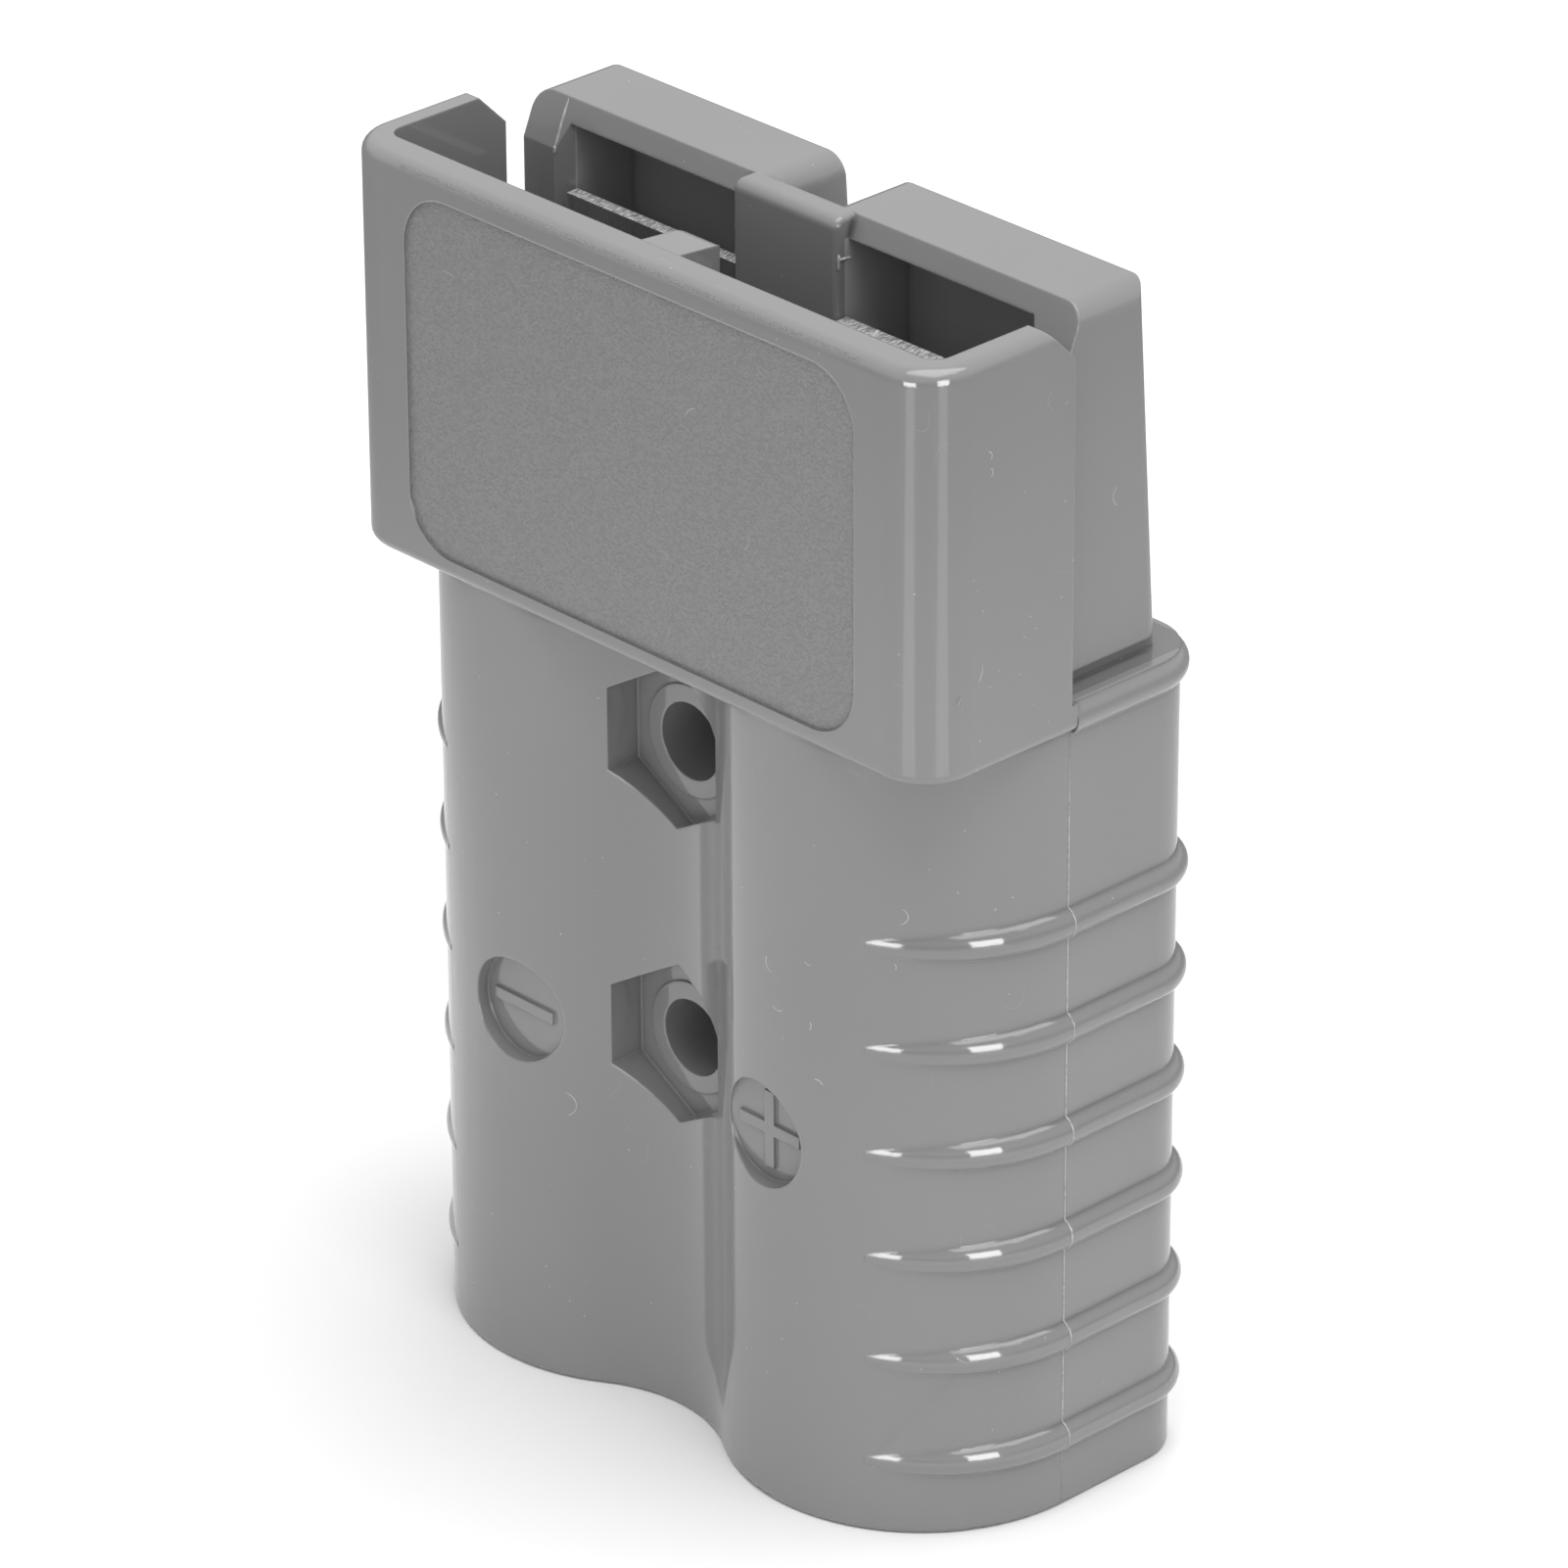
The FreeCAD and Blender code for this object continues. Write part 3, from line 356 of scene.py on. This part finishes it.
plastic, tree, shader = new_material("housing_plastic")
where = node(tree, "TexCoord").outputs["Object"]
xyz = node(tree, "SeparateXYZ", {0: where}).outputs
axes = (maths(tree, "ABSOLUTE", xyz[0]), xyz[1], xyz[2])
masks = {name: zone(tree, axes, limits) for name, limits in ZONES.items()}
from_parting = maths(tree, "ABSOLUTE", maths(tree, "SUBTRACT", xyz[1], parting_y))
on_parting = times(tree, ramp(tree, from_parting, 0.06 * MM, 0.14 * MM, 1.0, 0.0), masks["sides"])
surface = use(tree, skin, {"Vector": where, "Drift scale": 28.0, "Grain scale": 1700.0})
scuffs = use(tree, hair, {"Vector": where, "Scale": 160.0, "Width": 0.004, "Rarity": 0.70})
edge_bevel_and_highlight = use(tree, edge, {"Radius": 0.28 * MM})
specks_and_shade = use(tree, speck_and_shade_group, {"Vector": where})
# painted shade: the joints found by ambient occlusion are darkened, less in the discs, pockets and
# box feet
light_shade_zones = maths(tree, "MAXIMUM", maths(tree, "MAXIMUM", masks["discs"], masks["pockets"]),
              masks["box feet"])
painted_joint_shade = times(tree, specks_and_shade["Joint"], ramp(tree, light_shade_zones, 0.0, 1.0, 0.88, 0.26))
recess_grain = node(tree, "TexNoise", {"Vector": where, "Scale": 3800.0, "Detail": 2.0})
panel = tint(tree, ramp(tree, recess_grain.outputs[0], 0.35, 0.65),
             (0.165, 0.165, 0.166), (0.230, 0.230, 0.231))
moulded = tint(tree, surface["Drift"], (0.218, 0.218, 0.220), (0.234, 0.234, 0.236))
fill(tree, shader.inputs, {"Base Color": layered(tree, moulded, [
    # painted highlight: a lighter line along the edges
    (edge_bevel_and_highlight["Edge"], 0.42, grey(0.42)),
    (on_parting, 0.45, grey(0.13)),
    (scuffs["Line"], 0.22, grey(0.40)),
    # painted shade: the joints darkened
    (painted_joint_shade, 1.0, grey(0.055)),
    # painted shade: the shoulder flat under the boxes darkened
    (masks["shoulder"], 0.45, grey(0.08)),
    (specks_and_shade["Speck"], 0.50, grey(0.52)),
    (masks["label"], 0.60, panel),
    (masks["cavities"], 0.60, grey(0.50))])})
gloss = plus(tree, ramp(tree, surface["Grain"], 0.3, 0.7, 0.05, 0.08),
             times(tree, masks["label"], 0.38))
gloss = maths(tree, "ADD", gloss, times(tree, scuffs["Line"], 0.20), clamp=True)
height = plus(tree, times(tree, surface["Grain"], 0.10), times(tree, surface["Wave"], 0.5),
              times(tree, recess_grain.outputs[0], masks["label"], 9.0),
              times(tree, scuffs["Line"], 0.3), times(tree, on_parting, -2.0))
bump = node(tree, "Bump", {"Height": height, "Normal": edge_bevel_and_highlight["Normal"], "Strength": 1.0,
                           "Distance": 0.012 * MM})
fill(tree, shader.inputs, {"Roughness": gloss, "IOR": 1.58, "Normal": bump.outputs[0]})
dress([housing], plastic)
print("housing plastic has", len(tree.nodes), "nodes")

# %% [markdown]
# ## Spring steel
# Each spring is a strip of bright spring steel. Its faces are rolled, with fine lines along the
# strip, and its ends are sheared: a bright torn band with short lines across the thickness. The
# direction of the surface tells the end from the faces, because only the end faces straight up.

# %% Material: spring steel
steel, tree, shader = new_material("spring_steel")
where = node(tree, "TexCoord").outputs["Object"]
along = node(tree, "Mapping", {0: where, 3: (1.0, 1.0, 0.03)})
rolled = node(tree, "TexNoise", {"Vector": along.outputs[0], "Scale": 5200.0, "Detail": 3.0})
facing = node(tree, "SeparateXYZ", {0: node(tree, "NewGeometry").outputs["Normal"]}).outputs[2]
sheared = ramp(tree, facing, 0.85, 0.95)
torn_map = node(tree, "Mapping", {0: where, 3: (1.0, 0.25, 1.0)})
torn = node(tree, "TexNoise", {"Vector": torn_map.outputs[0], "Scale": 5200.0, "Detail": 4.0,
                               "Roughness": 0.7})
surface = use(tree, skin, {"Vector": where, "Drift scale": 160.0, "Grain scale": 2400.0})
scuffs = use(tree, hair, {"Vector": where, "Scale": 260.0, "Width": 0.02, "Rarity": 0.58})
torn_tone = tint(tree, ramp(tree, torn.outputs[0], 0.38, 0.66), grey(0.24), (0.90, 0.90, 0.89))
tone = layered(tree, tint(tree, surface["Drift"], grey(0.42), (0.55, 0.55, 0.54)), [
    (rolled.outputs[0], 0.2, (0.60, 0.60, 0.59)),
    (sheared, 1.0, torn_tone)])
rough = plus(tree, ramp(tree, rolled.outputs[0], 0.3, 0.7, 0.26, 0.38), times(tree, sheared, 0.12))
height = plus(tree, times(tree, rolled.outputs[0], 0.25),
              times(tree, torn.outputs[0], sheared, 5.0), times(tree, scuffs["Line"], -0.6))
edge_glint = use(tree, edge, {"Radius": 0.15 * MM})
bump = node(tree, "Bump", {"Height": height, "Normal": edge_glint["Normal"], "Strength": 1.0,
                           "Distance": 0.012 * MM})
fill(tree, shader.inputs, {"Base Color": tone, "Roughness": rough, "Normal": bump.outputs[0],
                           "Metallic": ramp(tree, facing, 0.85, 0.95, 1.0, 0.25)})
dress(springs, steel)
print("spring steel has", len(tree.nodes), "nodes")

# %% [markdown]
# ## A thin ridge along a path
# Flash, the thin line of plastic that creeps between the halves of a mould, and the raised lip of
# a scratch are the same kind of shape: a low ridge that follows a path. It could be a curve with a
# round bevel, but flash is wider than high and its foot has to sit in the surface, so the ridge is
# a profile carried along the path, worked out as whole arrays and closed at both ends.

# %% Ridge helper
around = 10
ridge_foot = 0.06 * MM
inside_box = 0.002 * MM


def unit(vectors):
    """The same directions with length one, for one vector or for rows of them."""
    vectors = np.asarray(vectors, float)
    return vectors / np.linalg.norm(vectors, axis=-1, keepdims=True)


def ridge(name, path, out, side, width, height, material):
    """Closed low ridge. At each path point p, with outward normal n and side direction s, the
    section is p + s w cos(a) / 2 + n (h sin(a) over the surface, d sin(a) under it), for the angle
    a from 0 to 360 degrees; width w, height h and foot d fade to almost nothing at both ends."""
    count = len(path)
    from_end = np.minimum(np.arange(count), np.arange(count)[::-1])
    fade = np.clip(from_end / max(2, count // 8), 0.15, 1)[:, None]
    angle = np.linspace(0, 2 * math.pi, around, endpoint=False)
    high = np.where(np.sin(angle) > 0, height * np.sin(angle), ridge_foot * np.sin(angle))
    wide = np.cos(angle) * width / 2
    points = (path[:, None, :] + side[:, None, :] * (fade * wide)[..., None]
              + out[:, None, :] * (fade * high)[..., None])
    points[..., 0] = np.clip(points[..., 0], cad_low[0] + inside_box, cad_high[0] - inside_box)
    ring = np.arange(count * around).reshape(count, around)
    a, b = ring[:-1], ring[1:]
    quads = np.stack([a, np.roll(a, -1, 1), np.roll(b, -1, 1), b], -1).reshape(-1, 4)
    mesh = bpy.data.meshes.new(name)
    mesh.from_pydata(points.reshape(-1, 3).tolist(), [],
                     quads.tolist() + [ring[0][::-1].tolist(), ring[-1].tolist()])
    made = bpy.data.objects.new(name, mesh)
    bpy.context.scene.collection.objects.link(made)
    mesh.shade_smooth()
    mesh.materials.append(material)
    turn_outwards(mesh)
    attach(made, "root")
    return made


def turn_outwards(mesh):
    """A closed mesh has its volume sum over faces p . n; a negative sum means inside out."""
    centres = np.empty(len(mesh.polygons) * 3)
    mesh.polygons.foreach_get("center", centres)
    normals = np.empty(len(mesh.polygons) * 3)
    mesh.polygons.foreach_get("normal", normals)
    areas = np.empty(len(mesh.polygons))
    mesh.polygons.foreach_get("area", areas)
    centres = centres.reshape(-1, 3)
    volume = np.sum(np.sum((centres - centres.mean(0)) * normals.reshape(-1, 3), 1) * areas)
    if volume < 0:
        mesh.flip_normals()


print("a ridge has", around, "points in its section")

# %% [markdown]
# ## Flash plastic
# Flash is the same plastic, but so thin that light passes into it, and its top is a fine broken
# edge. It reads as a light hairline on the grey. So its material is the housing's grey made
# lighter, with a grain that changes along the line.

# %% Material: flash
flash, tree, shader = new_material("flash_plastic")
where = node(tree, "TexCoord").outputs["Object"]
surface = use(tree, skin, {"Vector": where, "Drift scale": 300.0, "Grain scale": 2200.0})
tone = layered(tree, tint(tree, surface["Drift"], grey(0.34), grey(0.50)), [
    (ramp(tree, surface["Grain"], 0.4, 0.7), 1.0, grey(0.62))])
bump = node(tree, "Bump", {"Height": surface["Grain"], "Distance": 0.02 * MM})
fill(tree, shader.inputs, {"Base Color": tone, "Normal": bump.outputs[0],
                           "Roughness": ramp(tree, surface["Grain"], 0.3, 0.7, 0.22, 0.40)})
print("flash plastic has", len(tree.nodes), "nodes")

# %% [markdown]
# ## The parting line
# The mould's front and back halves meet in a plane through the lobes. On each side of the body a
# line of flash climbs from the cable end to the hood, over every grip rib. Its path is the
# outline of the side: straight, and round each rib a piece of the rib's own circle. The greater
# of the two distances at every height gives exactly that outline.

# %% Parting lines
line_low = 0.6 * MM
heights_tried = 1400
points_kept = 900
parting_width = 0.12 * MM
parting_height = 0.05 * MM


def side_outline(z):
    """x of the side at height z: the larger of the flat side and, near a rib at height r, the
    rib's circle, axis + sqrt(radius^2 - (z - r)^2)."""
    from_rib = z[:, None] - rib_heights[None, :]
    bulge = rib_axis + np.sqrt(np.clip(rib_radius ** 2 - from_rib ** 2, 0, None))
    bulge = np.where(np.abs(from_rib) < rib_radius, bulge, 0)
    return np.maximum(body_half, bulge.max(1))


for name, sign in (("parting_flash_right", 1.0), ("parting_flash_left", -1.0)):
    z = np.linspace(line_low, hood_low, heights_tried)
    x = side_outline(z)
    length = np.concatenate([[0], np.cumsum(np.hypot(np.diff(x), np.diff(z)))])
    even = np.linspace(0, length[-1], points_kept)
    x, z = np.interp(even, length, x), np.interp(even, length, z)
    dx, dz = np.gradient(x), np.gradient(z)
    path = np.stack([sign * x, np.full_like(x, parting_y), z], 1)
    out = unit(np.stack([sign * dz, np.zeros_like(x), -dx], 1))
    side = np.tile((0.0, 1.0, 0.0), (points_kept, 1))
    made = ridge(name, path, out, side, parting_width, parting_height, flash)
    print(name, "has", len(made.data.polygons), "faces")

# %% [markdown]
# ## Flash on the contact boxes
# The core that shapes a cavity is a separate steel insert. Where it meets the mould, a short line
# of flash is left on the leaning front of the left box, with a bead of plastic at its foot, and
# a smaller one stands on the end of the web between the boxes. Each is a ridge along a straight
# line on the face that carries it, given by its two ends, its outward direction and its side. The
# longest one sways a little, as a torn edge does.

# %% Box flash
# Name, start, end, points, outwards, sideways, and width, height and sway in mm
BOX_FLASH = [
    ("box_flash", (-28.4, 1.3, 105.2), (-28.4, 3.02, 109.3), 24,
     (0, -4.3, 1.8), (1, 0, 0), 0.26, 0.12, 0.012),
    ("box_flash_foot", (-28.4, 1.3, 104.7), (-28.4, 1.34, 105.5), 10,
     (0, -1, 0.2), (1, 0, 0), 0.34, 0.14, 0.0),
    ("web_flash", (6.1, 1.05, 104.9), (6.1, 1.12, 106.4), 14,
     (1, 0, 0), (0, 1, 0), 0.28, 0.16, 0.0),
    ("web_flash_foot", (6.1, 1.1, 105.9), (6.1, 2.6, 105.75), 14,
     (1, 0, 0), (0, 0, 1), 0.24, 0.14, 0.0)]
for name, start, end, count, out, side, width, height, sway in BOX_FLASH:
    path = np.linspace(start, end, count)
    path[:, 0] += sway * np.sin(np.linspace(0, 9, count))
    ridge(name, path * MM, np.tile(unit(out), (count, 1)), np.tile(unit(side), (count, 1)),
          width * MM, height * MM, flash)
print(len(BOX_FLASH), "flash pieces on the boxes")

# %% [markdown]
# ## Marks of use
# A few marks are clear enough to be seen one by one: small hooks and ticks on the lobes and on the
# sides of the hood and the box, and fine hairs in the label recess, each a groove with a raised,
# lighter lip. They could be part of the material, but a mark has its own place and direction. So
# each is a ridge along an arc that lies on its surface, round or flat.

# %% Material: scuffed lip
lip, tree, shader = new_material("scuffed_lip")
where = node(tree, "TexCoord").outputs["Object"]
surface = use(tree, skin, {"Vector": where, "Drift scale": 500.0, "Grain scale": 2600.0})
bump = node(tree, "Bump", {"Height": surface["Grain"], "Distance": 0.02 * MM})
fill(tree, shader.inputs, {"Base Color": tint(tree, surface["Drift"], grey(0.32), grey(0.50)),
                           "Roughness": ramp(tree, surface["Grain"], 0.3, 0.7, 0.35, 0.6),
                           "Normal": bump.outputs[0]})
print("scuffed lip has", len(tree.nodes), "nodes")

# %% Marks
SIDE_FACES = {"hood side": 34.9 * MM, "box side": 32.25 * MM}
mark_points = 18
mark_height = 0.018 * MM


def lobe_front(x):
    """y of the lobes' front at x: lobe_y - sqrt(radius^2 - (|x| - lobe_x)^2)."""
    return lobe_y - np.sqrt(np.clip(lobe_radius ** 2 - (np.abs(x) - lobe_x) ** 2, 0, None))


def mark(width, name, surface, along, up, radius, start, sweep):
    """A ridge on an arc that lies on a surface: sideways it runs through along + r cos(a), upwards
    through up + r sin(a), for the angle a from start over sweep, in mm and degrees."""
    a = np.radians(start + np.linspace(0, sweep, mark_points))
    sideways = (along + radius * np.cos(a)) * MM
    pz = (up + radius * np.sin(a)) * MM
    zero = np.zeros_like(pz)
    if surface == "lobe":
        px, py = sideways, lobe_front(sideways)
        out = np.stack([px - np.sign(px) * lobe_x, py - lobe_y, zero], 1)
    elif surface == "label":
        px, py = sideways, zero + label_y
        out = np.stack([zero, zero - 1, zero], 1)
    else:
        px, py = zero + SIDE_FACES[surface], sideways
        out = np.stack([zero + 1, zero, zero], 1)
    path = np.stack([px, py, pz], 1)
    out = unit(out)
    side = unit(np.cross(np.gradient(path, axis=0), out))
    ridge(name, path, out, side, width * MM, mark_height, lip)


# For each width in mm: name, surface, middle sideways and upwards, radius, start and sweep
MARKS = {
    0.09: [
        ("mark_hook_upper", "lobe", 17.0, 51.7, 0.9, 150, 110),
        ("mark_tick_upper", "lobe", 20.8, 53.3, 0.4, 200, 100),
        ("mark_hook_middle", "lobe", 17.5, 48.3, 0.75, 215, 100),
        ("mark_tick_middle", "lobe", 20.3, 47.3, 0.7, -40, 70),
        ("mark_hook_left", "lobe", -10.5, 27.2, 1.15, -75, 150),
        ("mark_hook_right", "lobe", 27.6, 58.8, 0.85, -70, 130),
        ("mark_tick_right", "lobe", 27.2, 54.1, 0.5, -30, 70),
        ("mark_low_right", "lobe", 21.5, 41.8, 0.6, 20, 90)],
    0.06: [
        ("mark_hood_upper", "hood side", -10.3, 101.5, 0.40, -60, 150),
        ("mark_hood_lower", "hood side", -10.2, 100.0, 0.42, -70, 140),
        ("mark_hood_slash", "hood side", -12.9, 83.2, 2.10, -38, 42),
        ("mark_hood_foot", "hood side", -14.4, 81.6, 1.20, -50, 34),
        ("mark_box_hook", "box side", 7.6, 91.5, 0.95, 110, 140),
        ("hair_top_left", "label", -22.0, 99.5, 2.2, 60, 40),
        ("hair_top_right", "label", 8.5, 97.5, 1.6, 100, 70),
        ("hair_middle", "label", 13.2, 89.3, 1.1, -60, 80),
        ("hair_low", "label", 4.0, 84.0, 0.9, 20, 100)]}
for width, rows in MARKS.items():
    for row in rows:
        mark(width, *row)
print(sum(len(rows) for rows in MARKS.values()), "marks")

# %% [markdown]
# ## The floor
# The connector stands on a plain pale floor. A flat plane would do, but its far edge would show
# from a low camera, so the floor is a wide disc, fine in the middle and lying just under the
# cable end. Its matt white has a very slight drift, as a sheet of paper has. A glossy part
# mirrors the table that it stands on, and a real table is lit well only near the part. Lighting
# it so would leave a grey edge in the picture, so the floor darkens with the distance only for
# mirrored rays, which the Light Path node tells apart.

# %% Floor
rings, spokes = 24, 96
floor_radius = 2.4
floor_gap = 0.02 * MM
radius = floor_radius * np.linspace(0, 1, rings + 1)[1:] ** 2
turn = np.linspace(0, 2 * math.pi, spokes, endpoint=False)
disc = np.stack([radius[:, None] * np.cos(turn), radius[:, None] * np.sin(turn),
                 np.zeros((rings, spokes))], -1).reshape(-1, 3)
disc = np.concatenate([[(0, 0, 0)], disc]) + (0, 0, cad_low[2] - floor_gap)
ring = 1 + np.arange(rings * spokes).reshape(rings, spokes)
fan = np.stack([np.zeros(spokes, int), ring[0], np.roll(ring[0], -1)], 1)
quads = np.stack([ring[:-1], ring[1:], np.roll(ring[1:], -1, 1), np.roll(ring[:-1], -1, 1)],
                 -1).reshape(-1, 4)
mesh = bpy.data.meshes.new("floor")
mesh.from_pydata(disc.tolist(), [], fan.tolist() + quads.tolist())
floor = bpy.data.objects.new("floor", mesh)
bpy.context.scene.collection.objects.link(floor)
paper, tree, shader = new_material("floor_paper")
where = node(tree, "TexCoord").outputs["Object"]
surface = use(tree, skin, {"Vector": where, "Drift scale": 6.0, "Grain scale": 400.0})
mirrored = node(tree, "LightPath").outputs["Is Glossy Ray"]
away = node(tree, "VectorMath", {0: where, 1: (0.03, -0.03, 0.0)},
            operation="DISTANCE").outputs["Value"]
tone = layered(tree, tint(tree, surface["Drift"], grey(0.87), grey(0.90)), [
    (ramp(tree, away, 0.10, 0.30, 0.0, 0.85), mirrored, grey(0.06))])
fill(tree, shader.inputs, {"Base Color": tone,
                           "Roughness": ramp(tree, surface["Grain"], 0.3, 0.7, 0.8, 0.95)})
mesh.materials.append(paper)
print("floor of", len(mesh.polygons), "faces")

# %% [markdown]
# ## Light
# The catalogue picture is lit from everywhere: a white surround and a broad light from above give
# all the tones. What makes the plastic look glossy is a few things that show only as reflections.
# Two soft boxes stand near the floor, in front and to the right, and the round ribs mirror them as
# two bright dashes; their directions come from mirroring the line of sight at those dashes. Two
# strips lie on the floor in the same directions and give the hood's corner its two upright gleams.
# A narrow strip above draws a thin line on the bead, and a darker band of the surround along the
# horizon draws the dark line on each rib.

# %% World and lights
world = bpy.data.worlds.new("surround")
bpy.context.scene.world = world
world.use_nodes = True
tree = world.node_tree
background = tree.nodes["Background"]
rise = node(tree, "SeparateXYZ", {0: node(tree, "TexCoord").outputs["Generated"]}).outputs[2]
mirrored = node(tree, "LightPath").outputs["Is Glossy Ray"]
sky = layered(tree, grey(1.0), [(ramp(tree, rise, 0.08, 0.26, 0.85, 0.0), mirrored, grey(0.06))])
fill(tree, background.inputs, {"Color": sky, "Strength": 0.72})
bpy.context.scene.view_settings.view_transform = "Standard"
foot = np.array((17.0, 0.0, 0.0)) * MM
dash = np.array((17.0, 0.0, 35.0)) * MM
middle = np.array((0.0, 0.0, 55.0)) * MM


def lamp(name, size, radiance, axes, place, lights):
    """A rectangular lamp that no camera sees; its power is radiance times pi times area."""
    data = bpy.data.lights.new(name, "AREA")
    data.shape = "RECTANGLE"
    data.size, data.size_y = size
    data.energy = radiance * math.pi * size[0] * size[1]
    made = bpy.data.objects.new(name, data)
    made.matrix_world = matrix_of(*axes, place)
    made.visible_camera = False
    made.visible_diffuse = lights
    bpy.context.scene.collection.objects.link(made)


def direction(azimuth, elevation):
    """Unit vector towards an azimuth and an elevation in degrees."""
    a, e = math.radians(azimuth), math.radians(elevation)
    return np.array([math.cos(a) * math.cos(e), math.sin(a) * math.cos(e), math.sin(e)])


def soft_box(name, azimuth, elevation, distance, size, radiance, aim, lights=False):
    """A lamp in a direction from aim, at a distance, that faces aim."""
    back = direction(azimuth, elevation)
    side = unit(np.cross((0, 0, 1), back))
    lamp(name, size, radiance, (side, np.cross(back, side), back), aim + back * distance, lights)


def floor_glow(name, azimuth, near=0.160, far=0.34, width=0.065, radiance=0.90):
    """A lamp that lies on the floor, faces up and runs away from the foot of the right lobe."""
    run = direction(azimuth, 0)
    place = foot + run * (near + far) / 2 + (0, 0, 0.2 * MM)
    lamp(name, (far - near, width), radiance, (run, np.cross((0, 0, -1), run), (0, 0, -1)), place,
         False)


soft_box("front_box", -73, 6, 0.30, (0.11, 0.125), 12.0, dash)
soft_box("right_box", -17, 15, 0.31, (0.10, 0.19), 12.0, dash)
soft_box("high_strip", 19, 50, 0.60, (0.06, 0.012), 22.0, middle)
soft_box("top_light", 15, 80, 0.90, (0.9, 0.8), 3.7, middle, lights=True)
floor_glow("front_glow", -73)
floor_glow("right_glow", -17)
